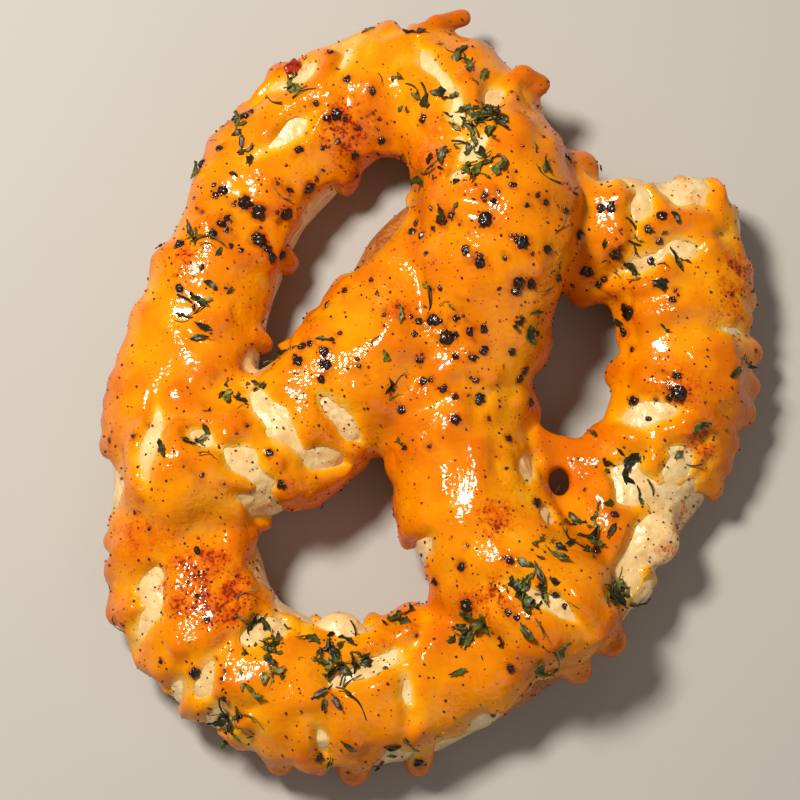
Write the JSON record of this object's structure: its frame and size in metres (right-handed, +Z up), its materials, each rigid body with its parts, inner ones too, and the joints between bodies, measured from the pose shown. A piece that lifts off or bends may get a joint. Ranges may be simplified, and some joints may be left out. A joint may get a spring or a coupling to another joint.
{
  "type": "soft pretzel",
  "caption": "Baked soft pretzel lying flat, one thick rope tied once round three open loops, under a bubbling blanket of melted cheese with herbs and paprika.",
  "frame": {"origin": "centre of the footprint, on the surface the pretzel rests on", "axes": "+Z up out of the tray, +Y along the longest side from the thick bow to the long lobe, +X towards the short lobe"},
  "size_m": [0.1443, 0.1686, 0.0398],
  "materials": {
    "crust": "baked crust, golden brown and matt, floury underneath",
    "cheddar": "melted cheese, glossy with oil and browned in spots"
  },
  "bodies": {
    "root": {"dough": "crust", "melted_cheese": "cheddar"}
  },
  "joints": []
}
